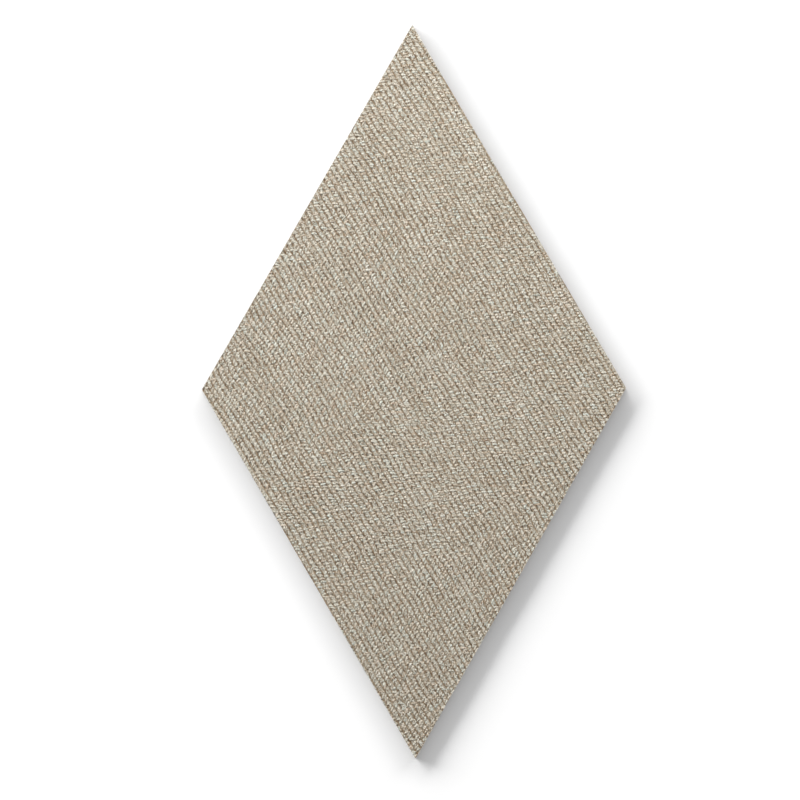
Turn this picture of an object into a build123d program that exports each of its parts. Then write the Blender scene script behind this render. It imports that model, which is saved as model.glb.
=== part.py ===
"""Woven vinyl floor tile: a 60 degree rhombus, die-cut in one piece from ribbed sheet.

The frame: Z = 0 is the flat back that is glued down and +Z points out of the wear face.
The origin is the middle of the back, and the long diagonal of the rhombus lies along Y.
The wear face is a row of rounded ribs with narrow grooves between them. The ribs run
down the length of the roll, almost parallel to the upper right and lower left edges.
"""

from build123d import *
from math import ceil, cos, radians, sin
import os

# Driving dimensions, in millimetres and degrees
side_length = 250.0  # each of the four edges, and the short diagonal at 60 degrees
acute_angle = 60.0  # at the two tips on the long diagonal
backing_thickness = 2.2  # from the flat back to the floor of the grooves
rib_height = 0.8  # from the floor of the grooves to the crown of a rib
rib_pitch = 3.2  # from one groove to the next
groove_width = 0.42  # flat floor between two ribs
rib_skew = 0.83  # by which the cut edge misses the run of the ribs

# Outline of the rhombus
half_length = side_length * cos(radians(acute_angle / 2))  # centre to a tip, along Y
half_width = side_length * sin(radians(acute_angle / 2))  # centre to a side corner, along X
corners = [(0, half_length), (half_width, 0), (0, -half_length), (-half_width, 0)]

# Run of the ribs: the section's plane stands across them, with its own Y pointing up
rib_run = -90 + acute_angle / 2 + rib_skew  # direction of the ribs, from +X
along_ribs = Vector(cos(radians(rib_run)), sin(radians(rib_run)), 0)
across_ribs = Vector(-sin(radians(rib_run)), cos(radians(rib_run)), 0)
section_plane = Plane(origin=(0, 0, 0), x_dir=across_ribs, z_dir=along_ribs)

# The sheet reaches past the outline on every side, and a groove crosses the centre
reach_across = max(abs(Vector(x, y, 0).dot(across_ribs)) for x, y in corners)
reach_along = max(abs(Vector(x, y, 0).dot(along_ribs)) for x, y in corners)
ribs_each_way = ceil((reach_across + rib_pitch) / rib_pitch)
sheet_edge = ribs_each_way * rib_pitch
sheet_reach = reach_along + rib_pitch
rib_width = rib_pitch - groove_width
tile_thickness = backing_thickness + rib_height

with BuildPart() as woven_tile:
    # Ribbed sheet, as it comes off the roll
    with BuildSketch(section_plane) as sheet_section:
        with BuildLine():
            for rib in range(-ribs_each_way, ribs_each_way):
                left = rib * rib_pitch
                foot = left + groove_width / 2
                far_foot = foot + rib_width
                right = left + rib_pitch
                Line((left, backing_thickness), (foot, backing_thickness))
                SagittaArc(
                    (foot, backing_thickness),
                    (far_foot, backing_thickness),
                    rib_height,
                )
                Line((far_foot, backing_thickness), (right, backing_thickness))
            Polyline(
                (sheet_edge, backing_thickness),
                (sheet_edge, 0),
                (-sheet_edge, 0),
                (-sheet_edge, backing_thickness),
            )
        make_face()
    extrude(amount=sheet_reach, both=True)

    # Die cut to the rhombus
    with BuildSketch(Plane.XY) as outline:
        Polygon(*corners, align=None)
    extrude(amount=tile_thickness, mode=Mode.INTERSECT)

woven_tile.part.label = "woven_vinyl_tile"

os.makedirs("parts", exist_ok=True)
export_step(woven_tile.part, "parts/woven_vinyl_tile.step")
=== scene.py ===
from math import cos, pi, radians, sin

import bmesh
import bpy
import numpy as np
from mathutils import Euler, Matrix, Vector


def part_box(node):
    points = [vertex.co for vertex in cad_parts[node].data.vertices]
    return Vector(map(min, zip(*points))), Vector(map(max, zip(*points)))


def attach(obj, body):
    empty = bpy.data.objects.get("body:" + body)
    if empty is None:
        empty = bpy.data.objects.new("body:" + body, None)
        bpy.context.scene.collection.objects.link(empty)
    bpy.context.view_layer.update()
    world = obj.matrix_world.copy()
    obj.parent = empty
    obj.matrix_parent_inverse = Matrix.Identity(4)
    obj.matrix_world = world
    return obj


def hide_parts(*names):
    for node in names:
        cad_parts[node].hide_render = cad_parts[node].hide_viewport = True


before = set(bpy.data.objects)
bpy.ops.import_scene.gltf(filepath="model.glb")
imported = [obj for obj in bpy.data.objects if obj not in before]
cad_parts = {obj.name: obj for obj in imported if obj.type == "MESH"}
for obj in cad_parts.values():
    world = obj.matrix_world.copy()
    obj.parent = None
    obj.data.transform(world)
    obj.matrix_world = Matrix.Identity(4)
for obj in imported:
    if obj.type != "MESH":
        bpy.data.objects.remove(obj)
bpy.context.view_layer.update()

# Sizes of the tile, in metres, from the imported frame
_, tile_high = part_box("woven_vinyl_tile")
half_width = tile_high[0]
half_length = tile_high[1]
tile_top = tile_high[2]
acute_half_angle = np.arctan2(half_width, half_length)
edge_normals = [
    (sx * cos(acute_half_angle), sy * sin(acute_half_angle)) for sx in (1, -1) for sy in (1, -1)
]
edge_distance = half_width * cos(acute_half_angle)

# The weave, in metres: ribs of short stitches, and brown cords in the grooves between them
rib_pitch = 0.0032
stitch_pitch = 0.00203
rib_skew = radians(0.83)
ground_level = 0.0022
# The level that perfectly round stitches would reach: their flat sides stay under the tile's top
crown_level = tile_top + 0.00007

# u runs across the ribs, to the right, and v runs up along them
across_angle = acute_half_angle + rib_skew
across = np.array([cos(across_angle), sin(across_angle)])
along = np.array([-sin(across_angle), cos(across_angle)])

seed = 7
mm_per_metre = 1000


def to_tile(u, v):
    """The tile's x and y of a place across and along the ribs."""
    return u * across[0] + v * along[0], u * across[1] + v * along[1]


def past_edge(x, y):
    """How far a place lies outside the cut outline, negative inside it."""
    return np.max([nx * x + ny * y for nx, ny in edge_normals], axis=0) - edge_distance


# Slow random changes over the tile
class SmoothField:
    """Smooth random values of about unit size, between the points of a grid."""

    grid_size = 128
    spread = 1.4

    def __init__(self, cell_across, cell_along, grid_seed):
        self.cell_across = cell_across
        self.cell_along = cell_along
        rng = np.random.default_rng(grid_seed)
        self.grid = rng.normal(size=(self.grid_size, self.grid_size))

    def at(self, u, v):
        """The values at places across and along the ribs."""
        gu = u / self.cell_across + self.grid_size / 2
        gv = v / self.cell_along + self.grid_size / 2
        iu = np.floor(gu).astype(int)
        iv = np.floor(gv).astype(int)
        fu = gu - iu
        fv = gv - iv
        fu = fu * fu * (3 - 2 * fu)
        fv = fv * fv * (3 - 2 * fv)
        iu %= self.grid_size - 1
        iv %= self.grid_size - 1
        low = self.grid[iu, iv] * (1 - fu) + self.grid[iu + 1, iv] * fu
        high = self.grid[iu, iv + 1] * (1 - fu) + self.grid[iu + 1, iv + 1] * fu
        return (low * (1 - fv) + high * fv) * self.spread


field_rng = np.random.default_rng(seed + 2)
seed_limit = 1 << 30
field_seeds = [field_rng.integers(seed_limit) for _ in range(5)]
slow_swerve = SmoothField(0.070, 0.030, field_seeds[0])
slow_swerve_reach = 0.00052
quick_swerve = SmoothField(0.030, 0.009, field_seeds[1])
quick_swerve_reach = 0.00022
row_shift = SmoothField(0.013, 0.034, field_seeds[2])
row_shift_reach = 0.00080
# The tone's cells are one rib wide
rib_tone = SmoothField(1.0, 0.035, field_seeds[3])
groove_shift = SmoothField(0.045, 0.022, field_seeds[4])
groove_shift_gain = 0.8
groove_shift_limit = 0.00033


def wander(u, v):
    """How far the ribs swerve sideways, the same for a rib and the grooves beside it."""
    return slow_swerve_reach * slow_swerve.at(u, v) + quick_swerve_reach * quick_swerve.at(u, v)


def drift(u, v):
    """How far the rows of stitches are shifted along the ribs."""
    return row_shift_reach * row_shift.at(u, v)


def pairing(groove, v):
    """How far a groove is shifted to the right, with every second one shifted to the left."""
    size = groove_shift.at(groove * rib_pitch, v)
    side = np.where(groove % 2 == 0, 1.0, -1.0)
    return groove_shift_limit * np.tanh(groove_shift_gain * size) * side


# Areas where the stitches rise to the right, measured across and along the ribs
low_area_top = -0.090
upper_area_bottom = 0.0
upper_area_top = 0.105
upper_area_right = 0.060


def leaning(u, v):
    """1 where the stitches rise to the right along the ribs, and -1 where they fall."""
    upper_area = (v > upper_area_bottom) & (v < upper_area_top) & (u < upper_area_right)
    return np.where((v < low_area_top) | upper_area, 1.0, -1.0)


# Layout of the stitches: ranges and standard deviations, in metres and radians
area_blur = 0.010
odd_share = 0.08
slant = radians(29)
slant_spread = radians(9)
sideways_spread = 0.00010
lengthways_spread = 0.00034
groove_gap = (0.00008, 0.00042)
longest_stitch = 0.0044
half_width_range = (0.00066, 0.00092)
half_depth_range = (0.00020, 0.00032)
crown_drop = 0.00014
foot_range = (0.00020, 0.00040)
bend_spread = 0.00013
tone_spread = 0.15
rib_tone_share = 0.09
warmth_spread = 0.23
grain_shift = 50


def cross_stitches():
    """The short stitches over each rib, side by side along it, as one array for each value."""
    rng = np.random.default_rng(seed)
    ribs_each_way = int((edge_distance + 2 * rib_pitch) / rib_pitch)
    rows_each_way = int((half_length + 2 * stitch_pitch) / stitch_pitch)
    ribs = np.arange(-ribs_each_way, ribs_each_way) + 0.5
    rows = np.arange(-rows_each_way, rows_each_way + 1)
    rib, row = (a.ravel() for a in np.meshgrid(ribs, rows))
    count = rib.size
    u = rib * rib_pitch
    v = row * stitch_pitch
    lean = leaning(u + area_blur * rng.normal(size=count), v + area_blur * rng.normal(size=count))
    lean = np.where(rng.random(count) < odd_share, -lean, lean)
    rib_width = rib_pitch - 2 * pairing(rib - 0.5, v)
    u = u + wander(u, v) + rng.normal(size=count) * sideways_spread
    v = v + drift(u, v) + rng.normal(size=count) * lengthways_spread
    angle = lean * slant + rng.normal(size=count) * slant_spread
    span = rib_width - rng.uniform(*groove_gap, count)
    return {
        "rib": rib,
        "u": u,
        "v": v,
        "angle": angle,
        "length": np.minimum(span / np.cos(angle), longest_stitch),
        "width": rng.uniform(*half_width_range, count),
        "depth": rng.uniform(*half_depth_range, count),
        "crown": crown_level - crown_drop * rng.random(count),
        "foot": ground_level + rng.uniform(*foot_range, count),
        "bend": rng.normal(size=count) * bend_spread,
        "tone": np.clip(
            0.5 + tone_spread * rng.normal(size=count) + rib_tone_share * rib_tone.at(rib, v), 0, 1
        ),
        "warmth": np.clip(0.5 + warmth_spread * rng.normal(size=count), 0, 1),
        "start": rng.random(count) * grain_shift,
    }


def pick(stitches, chosen):
    """The arrays of some of the stitches."""
    return {name: values[chosen] for name, values in stitches.items()}


edge_margin = 0.0006


def inside_outline(stitches):
    """The stitches that reach inside the outline, and whether the cut may touch them."""
    x, y = to_tile(stitches["u"], stitches["v"])
    out = past_edge(x, y)
    near = stitches["length"] / 2 + edge_margin
    kept = out < near
    return pick(stitches, kept), (out > -near)[kept]


# Shape of a stitch: rings along it, from -1 at one end to 1 at the other
ring_places = np.array([-0.90, -0.50, 0.50, 0.90])
ring_sides = 6
end_roundness = 0.30
arch_flatness = 3.0


def stitch_points(stitches):
    """Points (stitch, point, xyz) of rounded yarns that arch over a rib, and their place."""
    s = {name: values[:, None] for name, values in stitches.items()}
    turns = np.arange(ring_sides) * 2 * pi / ring_sides
    t = np.concatenate([[-1.0], np.repeat(ring_places, ring_sides), [1.0]])
    turn = np.concatenate([[0.0], np.tile(turns, len(ring_places)), [0.0]])
    radius = (1 - t**2) ** end_roundness
    side = np.cos(turn) * radius
    rise = np.sin(turn) * radius
    arch = 1 - np.abs(t) ** arch_flatness
    reach = s["length"] / 2 * t
    sway = s["bend"] * np.sin(pi * t) + s["width"] * side
    ca = np.cos(s["angle"])
    sa = np.sin(s["angle"])
    u = s["u"] + reach * ca - sway * sa
    v = s["v"] + reach * sa + sway * ca
    middle = s["foot"] + (s["crown"] - s["depth"] - s["foot"]) * arch
    x, y = to_tile(u, v)
    z = middle + s["depth"] * rise
    run = reach * mm_per_metre + s["start"]
    place = np.stack([side + 0 * reach, rise + 0 * reach, run], axis=-1)
    return np.stack([x, y, z], axis=-1), place


def stitch_faces():
    """Faces of one stitch: a fan at each end, and quads between the rings."""
    last_ring = 1 + (len(ring_places) - 1) * ring_sides
    end_point = last_ring + ring_sides
    faces = []
    for k in range(ring_sides):
        n = (k + 1) % ring_sides
        faces.append((0, 1 + n, 1 + k))
        for a in range(1, last_ring, ring_sides):
            b = a + ring_sides
            faces.append((a + k, a + n, b + n, b + k))
        faces.append((last_ring + k, last_ring + n, end_point))
    return faces


def stitch_mesh(name, stitches):
    """One mesh of many stitches, with their tone, warmth and place as attributes."""
    points, places = stitch_points(stitches)
    faces = stitch_faces()
    count, each = points.shape[:2]
    sizes = np.array([len(face) for face in faces])
    corners = np.concatenate([np.array(face) for face in faces])
    all_corners = (corners[None, :] + np.arange(count)[:, None] * each).ravel()
    starts = np.concatenate([[0], np.cumsum(np.tile(sizes, count))[:-1]])
    mesh = bpy.data.meshes.new(name)
    mesh.vertices.add(count * each)
    mesh.vertices.foreach_set("co", points.reshape(-1).astype(np.float32))
    mesh.loops.add(all_corners.size)
    mesh.loops.foreach_set("vertex_index", all_corners.astype(np.int32))
    mesh.polygons.add(count * len(faces))
    mesh.polygons.foreach_set("loop_start", starts.astype(np.int32))
    mesh.update(calc_edges=True)
    for key in ("tone", "warmth"):
        values = np.repeat(stitches[key], each).astype(np.float32)
        mesh.attributes.new(key, "FLOAT", "POINT").data.foreach_set("value", values)
    place = mesh.attributes.new("place", "FLOAT_VECTOR", "POINT")
    place.data.foreach_set("vector", places.reshape(-1).astype(np.float32))
    return mesh


# Meshes into pieces
cut_tolerance = 1e-7


def cut_to_outline(mesh):
    """Cuts a mesh at the four edges of the tile, and closes each cut."""
    bm = bmesh.new()
    bm.from_mesh(mesh)
    for nx, ny in edge_normals:
        cut = bmesh.ops.bisect_plane(
            bm,
            geom=bm.verts[:] + bm.edges[:] + bm.faces[:],
            dist=cut_tolerance,
            plane_co=(nx * edge_distance, ny * edge_distance, 0),
            plane_no=(nx, ny, 0),
            clear_outer=True,
        )
        rims = [e for e in cut["geom_cut"] if isinstance(e, bmesh.types.BMEdge) and e.is_boundary]
        bmesh.ops.holes_fill(bm, edges=rims, sides=0)
        for rim in rims:
            rim.smooth = False
    bmesh.ops.triangulate(bm, faces=[face for face in bm.faces if len(face.verts) > 4])
    bmesh.ops.recalc_face_normals(bm, faces=bm.faces)
    bm.to_mesh(mesh)
    bm.free()


def linked_object(name, mesh):
    """A mesh as an object in the scene."""
    ob = bpy.data.objects.new(name, mesh)
    bpy.context.collection.objects.link(ob)
    return ob


def join(name, meshes):
    """One object from several meshes, smooth shaded."""
    bm = bmesh.new()
    for mesh in meshes:
        bm.from_mesh(mesh)
        bpy.data.meshes.remove(mesh)
    joined = bpy.data.meshes.new(name)
    bm.to_mesh(joined)
    bm.free()
    joined.shade_smooth()
    return linked_object(name, joined)


def face_piece(name, stitches, touched):
    """One piece of the woven face: whole stitches as they are, and those at the edge cut."""
    whole = stitch_mesh(name, pick(stitches, ~touched))
    cut = stitch_mesh(name, pick(stitches, touched))
    cut_to_outline(cut)
    return join(name, [whole, cut])


# Yarns that run along the ribs: the cores of the ribs, and the brown cords in the grooves
rib_core = {
    "half_width": 0.00130,
    "half_height": 0.00046,
    "level": 0.00242,
    "unevenness": 0.00005,
    "tone_spread": 0.15,
    "seed": [seed, 9],
}
groove_cord = {
    "half_width": 0.00047,
    "half_height": 0.00034,
    "level": 0.00240,
    "unevenness": 0.00008,
    "tone_spread": 0.30,
    "seed": [seed, 12],
}
segment = 0.0014
yarn_sides = 5
fewest_rings = 3
yarn_width_range = (0.85, 1.15)
middle_warmth = 0.5


def core_sideways(number, v):
    """How far the core of a rib is shifted sideways."""
    return wander(number * rib_pitch, v)


def cord_sideways(number, v):
    """How far the cord of a groove is shifted sideways."""
    return wander(number * rib_pitch, v) + pairing(number, v)


def yarn_line(number):
    """Points along the line of a rib or groove, a little past the outline."""
    reach = half_length + rib_pitch
    v = np.arange(-reach, reach, segment)
    x, y = to_tile(number * rib_pitch, v)
    return v[past_edge(x, y) < 2 * rib_pitch]


def add_yarn(bm, u, v, half_width, half_height, level, tone):
    """A closed tube through points across and along the ribs."""
    tone_key = bm.verts.layers.float["tone"]
    warmth_key = bm.verts.layers.float["warmth"]
    place_key = bm.verts.layers.float_vector["place"]
    turns = np.arange(yarn_sides) * 2 * pi / yarn_sides + pi / 2
    rings = []
    for i in range(v.size):
        ring = []
        for turn in turns:
            x, y = to_tile(u[i] + half_width[i] * cos(turn), v[i])
            vert = bm.verts.new((x, y, level[i] + half_height * sin(turn)))
            vert[tone_key] = tone[i]
            vert[warmth_key] = middle_warmth
            vert[place_key] = (cos(turn), sin(turn), v[i] * mm_per_metre)
            ring.append(vert)
        rings.append(ring)
    for a, b in zip(rings, rings[1:]):
        for k in range(yarn_sides):
            n = (k + 1) % yarn_sides
            bm.faces.new((a[k], a[n], b[n], b[k]))
    bm.faces.new(rings[0][::-1])
    bm.faces.new(rings[-1])


def long_yarns(name, yarn, numbers, sideways):
    """One piece of yarns that each follow a line along the ribs."""
    rng = np.random.default_rng(yarn["seed"])
    bm = bmesh.new()
    bm.verts.layers.float.new("tone")
    bm.verts.layers.float.new("warmth")
    bm.verts.layers.float_vector.new("place")
    for number in numbers:
        v = yarn_line(number)
        if v.size < fewest_rings:
            continue
        u = number * rib_pitch + sideways(np.full(v.size, number), v)
        tone = np.clip(0.5 + yarn["tone_spread"] * rng.normal(size=v.size), 0, 1)
        level = yarn["level"] + yarn["unevenness"] * rng.uniform(-1, 1, v.size)
        half_width = yarn["half_width"] * rng.uniform(*yarn_width_range, v.size)
        add_yarn(bm, u, v, half_width, yarn["half_height"], level, tone)
    bmesh.ops.recalc_face_normals(bm, faces=bm.faces)
    mesh = bpy.data.meshes.new(name)
    bm.to_mesh(mesh)
    bm.free()
    cut_to_outline(mesh)
    return join(name, [mesh])


# The sheet under the weave
broken_arris = 0.00012
arris_segments = 2
level_tolerance = 1e-6


def sheet_piece(name):
    """A rhombus of plain sheet with its arrises just broken."""
    bm = bmesh.new()
    corners = [(0, half_length), (-half_width, 0), (0, -half_length), (half_width, 0)]
    bottom = bm.faces.new([bm.verts.new((x, y, 0)) for x, y in corners[::-1]])
    top = bmesh.ops.extrude_face_region(bm, geom=[bottom])
    lifted = [v for v in top["geom"] if isinstance(v, bmesh.types.BMVert)]
    bmesh.ops.translate(bm, verts=lifted, vec=(0, 0, ground_level))
    bmesh.ops.recalc_face_normals(bm, faces=bm.faces)
    level = [e for e in bm.edges if abs(e.verts[0].co.z - e.verts[1].co.z) < level_tolerance]
    bmesh.ops.bevel(
        bm,
        geom=level,
        offset=broken_arris,
        segments=arris_segments,
        profile=0.5,
        affect="EDGES",
    )
    mesh = bpy.data.meshes.new(name)
    bm.to_mesh(mesh)
    bm.free()
    return linked_object(name, mesh)


# Materials
class Nodes:
    """Short calls for building the nodes of a material or world."""

    def __init__(self, owner, output_kind):
        self.owner = owner
        owner.use_nodes = True
        self.tree = owner.node_tree
        self.tree.nodes.clear()
        self.output = self.add(output_kind)

    def add(self, kind, **settings):
        """A new node with some of its settings."""
        node = self.tree.nodes.new(kind)
        for key, value in settings.items():
            setattr(node, key, value)
        return node

    def link(self, source, target):
        """Joins an output to an input."""
        self.tree.links.new(source, target)

    def attribute(self, name):
        """An attribute of the mesh."""
        return self.add("ShaderNodeAttribute", attribute_name=name)

    def object_place(self):
        """The place in the object's own metres."""
        return self.add("ShaderNodeTexCoord").outputs["Object"]

    def noise(self, vector, scale, detail):
        """Smooth noise between 0 and 1."""
        node = self.add("ShaderNodeTexNoise")
        node.inputs["Scale"].default_value = scale
        node.inputs["Detail"].default_value = detail
        self.link(vector, node.inputs["Vector"])
        return node.outputs["Fac"]

    def stretch(self, vector, scale):
        """A vector scaled along each axis."""
        node = self.add("ShaderNodeMapping")
        node.inputs["Scale"].default_value = scale
        self.link(vector, node.inputs["Vector"])
        return node.outputs["Vector"]

    def ramp(self, value, stops):
        """A colour for each value, between stops of a position and a colour."""
        node = self.add("ShaderNodeValToRGB")
        elements = node.color_ramp.elements
        while len(elements) < len(stops):
            elements.new(0.5)
        for element, (position, colour) in zip(elements, stops):
            element.position = position
            element.color = (*colour, 1)
        self.link(value, node.inputs["Fac"])
        return node.outputs["Color"]

    def spread(self, value, source_range, target_range):
        """A value taken from one range to another, and held within it."""
        node = self.add("ShaderNodeMapRange")
        node.inputs["From Min"].default_value = source_range[0]
        node.inputs["From Max"].default_value = source_range[1]
        node.inputs["To Min"].default_value = target_range[0]
        node.inputs["To Max"].default_value = target_range[1]
        self.link(value, node.inputs["Value"])
        return node.outputs["Result"]

    def multiply(self, a, b):
        """Two colours multiplied."""
        node = self.add("ShaderNodeMix", data_type="RGBA", blend_type="MULTIPLY")
        node.inputs["Factor"].default_value = 1
        self.link(a, node.inputs["A"])
        self.link(b, node.inputs["B"])
        return node.outputs["Result"]

    def mix_shaders(self, share, first, second):
        """The first shader where the share is 0, and the second where it is 1."""
        node = self.add("ShaderNodeMixShader")
        self.link(share, node.inputs["Fac"])
        self.link(first, node.inputs[1])
        self.link(second, node.inputs[2])
        return node.outputs["Shader"]

    def show(self, shader):
        """Puts a shader on the surface."""
        self.link(shader, self.output.inputs["Surface"])

    def direct_ray(self):
        """1 for rays that show the background: from the camera, a reflection or glass."""
        path = self.add("ShaderNodeLightPath")
        first = self.add("ShaderNodeMath", operation="MAXIMUM")
        self.link(path.outputs["Is Camera Ray"], first.inputs[0])
        self.link(path.outputs["Is Glossy Ray"], first.inputs[1])
        second = self.add("ShaderNodeMath", operation="MAXIMUM")
        self.link(first.outputs["Value"], second.inputs[0])
        self.link(path.outputs["Is Transmission Ray"], second.inputs[1])
        return second.outputs["Value"]

    def vinyl(self, colour, roughness, bump_height, bump_depth, specular):
        """A plain vinyl surface with fine relief."""
        shader = self.add("ShaderNodeBsdfPrincipled")
        shader.inputs["Specular IOR Level"].default_value = specular
        self.link(colour, shader.inputs["Base Color"])
        self.link(roughness, shader.inputs["Roughness"])
        bump = self.add("ShaderNodeBump")
        bump.inputs["Distance"].default_value = bump_depth
        self.link(bump_height, bump.inputs["Height"])
        self.link(bump.outputs["Normal"], shader.inputs["Normal"])
        self.show(shader.outputs["BSDF"])
        return self.owner


white = (1.0, 1.0, 1.0)
whole_range = (0, 1)
filament_scale = 1.6
filament_detail = 3.0


def material_nodes(name):
    """The nodes of a new material."""
    return Nodes(bpy.data.materials.new(name), "ShaderNodeOutputMaterial")


def grey(value):
    """A grey as a colour."""
    return (value, value, value)


def yarn_material():
    """Pale greige vinyl yarn, with filament lines along it, flecks, and painted shade that makes it
    darker and browner low on the ribs, toward the grooves.
    """
    tones = [
        (0.0, (0.565, 0.51, 0.43)),
        (0.5, (0.72, 0.70, 0.635)),
        (1.0, (0.815, 0.81, 0.77)),
    ]
    tints = [
        (0.0, (0.93, 1.0, 1.01)),
        (0.5, (1.0, 0.985, 0.95)),
        (1.0, (1.02, 0.92, 0.84)),
    ]
    flecks = [
        (0.28, (0.23, 0.15, 0.09)),
        (0.45, (0.85, 0.80, 0.735)),
        (0.54, white),
        (0.71, (1.20, 1.24, 1.24)),
    ]
    filaments = [(0.3, (0.77, 0.74, 0.70)), (0.65, white)]
    # Painted shade: the yarn's colour is darker and browner low on the ribs, toward the grooves
    painted_low_shade = [(0.0, (0.78, 0.66, 0.51)), (0.65, white)]
    roughness = [(0.3, grey(0.62)), (0.7, grey(0.48))]
    filament_stretch = (2.2, 2.2, 0.35)
    fleck_scale = 1900
    # Painted shade runs from its darkest at the lower level to none at the upper level
    shade_bottom_level = ground_level + 0.0001
    shade_top_level = crown_level - 0.00025

    n = material_nodes("woven_vinyl_yarn")
    place = n.attribute("place").outputs["Vector"]
    lines = n.noise(n.stretch(place, filament_stretch), filament_scale, filament_detail)
    where = n.object_place()
    parts = n.add("ShaderNodeSeparateXYZ")
    n.link(where, parts.inputs["Vector"])
    height = n.spread(parts.outputs["Z"], (shade_bottom_level, shade_top_level), whole_range)
    tone = n.ramp(n.attribute("tone").outputs["Fac"], tones)
    tint = n.ramp(n.attribute("warmth").outputs["Fac"], tints)
    fleck = n.ramp(n.noise(where, fleck_scale, detail=0.0), flecks)
    colour = n.multiply(n.multiply(tone, tint), n.multiply(n.ramp(lines, filaments), fleck))
    # Painted shade: the colour is darkened and browned low on the ribs, by height
    colour = n.multiply(colour, n.ramp(height, painted_low_shade))
    return n.vinyl(colour, n.ramp(lines, roughness), lines, bump_depth=0.00008, specular=0.35)


def cord_material():
    """Brown ground yarn in the grooves, darker in places."""
    tones = [
        (0.0, (0.22, 0.142, 0.075)),
        (0.5, (0.385, 0.28, 0.178)),
        (1.0, (0.54, 0.445, 0.33)),
    ]
    filaments = [(0.3, (0.75, 0.72, 0.70)), (0.65, white)]
    roughness = [(0.3, grey(0.7)), (0.7, grey(0.55))]
    filament_stretch = (2.0, 2.0, 0.4)

    n = material_nodes("groove_cord_yarn")
    place = n.attribute("place").outputs["Vector"]
    lines = n.noise(n.stretch(place, filament_stretch), filament_scale, filament_detail)
    tone = n.ramp(n.attribute("tone").outputs["Fac"], tones)
    colour = n.multiply(tone, n.ramp(lines, filaments))
    return n.vinyl(colour, n.ramp(lines, roughness), lines, bump_depth=0.00006, specular=0.3)


def sheet_material():
    """Plain vinyl of the sheet under the weave, as its cut edge and flat back show it."""
    browns = [(0.3, (0.235, 0.205, 0.170)), (0.7, (0.285, 0.250, 0.210))]
    grains = [(0.3, grey(0.86)), (0.7, white)]
    roughness = [(0.3, grey(0.75)), (0.7, grey(0.6))]
    fine_scale = 2600
    broad_scale = 45

    n = material_nodes("vinyl_sheet")
    where = n.object_place()
    fine = n.noise(where, fine_scale, detail=4.0)
    broad = n.noise(where, broad_scale, detail=3.0)
    colour = n.multiply(n.ramp(broad, browns), n.ramp(fine, grains))
    return n.vinyl(colour, n.ramp(fine, roughness), fine, bump_depth=0.00008, specular=0.3)


# Building the tile
strips = 5
stitches, touched = inside_outline(cross_stitches())
order = np.argsort(stitches["rib"], kind="stable")
yarn = yarn_material()
pieces = []
for number, chosen in enumerate(np.array_split(order, strips), 1):
    piece = face_piece(f"woven_face_{number}", pick(stitches, chosen), touched[chosen])
    piece.data.materials.append(yarn)
    pieces.append(piece)

lines_each_way = int(edge_distance / rib_pitch) + 2
line_numbers = np.arange(-lines_each_way, lines_each_way)
cores = long_yarns("rib_cores", rib_core, line_numbers + 0.5, core_sideways)
cores.data.materials.append(yarn)
cords = long_yarns("groove_cords", groove_cord, line_numbers, cord_sideways)
cords.data.materials.append(cord_material())
sheet = sheet_piece("vinyl_sheet")
sheet.data.materials.append(sheet_material())
pieces += [cores, cords, sheet]
for piece in pieces:
    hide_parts("woven_vinyl_tile")
    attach(piece, "root")

# Light levels on the level tile, of which 1 in all shows a colour as it is written
fill_level = 0.208
key_level = 0.31
overhead_level = 0.515
key_bearing = radians(133)
key_elevation = radians(22)
key_distance = 3.2
key_size = (1.76, 0.56)
overhead_place = Vector((0.05, 0.70, 0.84))
overhead_size = (0.7, 0.7)

# The two low lamps light the floor alone, for the long soft shadows at the lower edges
low_level = 0.67
side_level = 0.27
side_bearing = radians(70)
low_elevation = radians(8.9)
low_distance = 8.0
low_size = (10.0, 1.5)

# The floor: its colour for light that bounces, and what it adds where it is seen
floor_half = 4.0
floor_cells = 8
floor_gap = 0.00005
floor_colour = 0.80
floor_lift = 0.11
floor_lift_from = 0.28
floor_lift_to = 1.2


def floor_material():
    """Pale floor that shows as white where nothing shades it."""
    n = material_nodes("pale_floor")
    lit = n.add("ShaderNodeBsdfDiffuse")
    lit.inputs["Color"].default_value = (*grey(floor_colour), 1)
    seen = n.add("ShaderNodeBsdfDiffuse")
    seen.inputs["Color"].default_value = (*white, 1)
    away = n.add("ShaderNodeVectorMath", operation="LENGTH")
    n.link(n.object_place(), away.inputs[0])
    lift = n.add("ShaderNodeEmission")
    lifted = n.spread(away.outputs["Value"], (floor_lift_from, floor_lift_to), (floor_lift, 1))
    n.link(lifted, lift.inputs["Strength"])
    total = n.add("ShaderNodeAddShader")
    n.link(seen.outputs["BSDF"], total.inputs[0])
    n.link(lift.outputs["Emission"], total.inputs[1])
    n.show(n.mix_shaders(n.direct_ray(), lit.outputs["BSDF"], total.outputs["Shader"]))
    return n.owner


def floor_object():
    """A level floor just under the tile."""
    bm = bmesh.new()
    bmesh.ops.create_grid(bm, x_segments=floor_cells, y_segments=floor_cells, size=floor_half)
    mesh = bpy.data.meshes.new("floor")
    bm.to_mesh(mesh)
    bm.free()
    mesh.materials.append(floor_material())
    ob = linked_object("floor", mesh)
    ob.location.z = -floor_gap
    return ob


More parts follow.
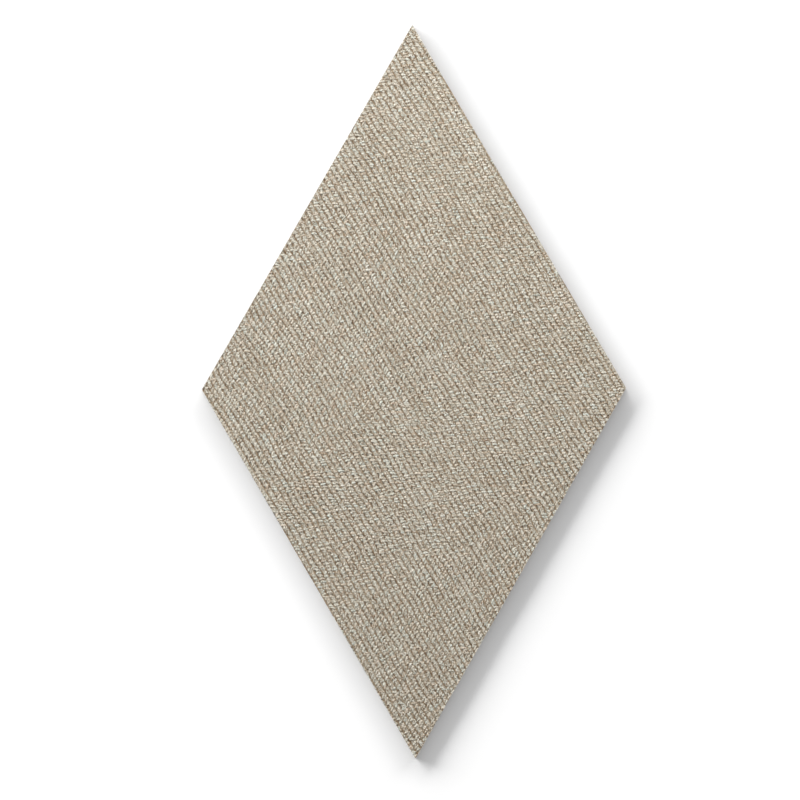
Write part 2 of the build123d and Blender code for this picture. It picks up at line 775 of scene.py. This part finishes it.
def studio_world():
    """Even light from all round, and white where the world itself is seen."""
    world = bpy.data.worlds.new("studio")
    bpy.context.scene.world = world
    n = Nodes(world, "ShaderNodeOutputWorld")
    shaders = []
    for strength in (fill_level, 1.0):
        background = n.add("ShaderNodeBackground")
        background.inputs["Color"].default_value = (*white, 1)
        background.inputs["Strength"].default_value = strength
        shaders.append(background.outputs["Background"])
    n.show(n.mix_shaders(n.direct_ray(), *shaders))


def towards(bearing, elevation):
    """The direction of a bearing on the floor, raised by an elevation."""
    level = cos(elevation)
    return Vector((cos(bearing) * level, sin(bearing) * level, sin(elevation)))


def soft_light(name, level, size, direction, distance, lit):
    """A rectangular lamp that faces the tile and gives a light level to the objects it may reach."""
    light = bpy.data.lights.new(name, "AREA")
    light.shape = "RECTANGLE"
    light.size, light.size_y = size
    light.energy = level * (pi * distance) ** 2 / direction.z
    lamp = linked_object(name, light)
    lamp.location = direction * distance
    lamp.rotation_euler = direction.to_track_quat("Z", "Y").to_euler()
    reached = bpy.data.collections.new(name + "_reaches")
    for ob in lit:
        reached.objects.link(ob)
    lamp.light_linking.receiver_collection = reached


floor = floor_object()
studio_world()
key_direction = towards(key_bearing, key_elevation)
soft_light("key", key_level, key_size, key_direction, key_distance, pieces)
overhead_direction = overhead_place.normalized()
soft_light(
    "overhead", overhead_level, overhead_size, overhead_direction, overhead_place.length, pieces
)
for name, level, bearing in (("low", low_level, key_bearing), ("side", side_level, side_bearing)):
    soft_light(name, level, low_size, towards(bearing, low_elevation), low_distance, [floor])

# The camera looks almost straight down, from a little below the tile's middle
camera_distance = 1.5
camera_turn = Euler((radians(3.10), radians(0.08), radians(-0.23)))
camera_aim = Vector((-0.0082, -0.0064, 0))
camera = bpy.data.cameras.new("camera")
camera.lens = 114.4
camera.sensor_width = 36
camera.clip_start = 0.05
camera.clip_end = 20
camera_object = linked_object("camera", camera)
camera_object.rotation_euler = camera_turn
camera_back = camera_turn.to_matrix() @ Vector((0, 0, 1))
camera_object.location = camera_aim + camera_back * camera_distance
bpy.context.scene.camera = camera_object

bpy.context.scene.view_settings.view_transform = "Standard"
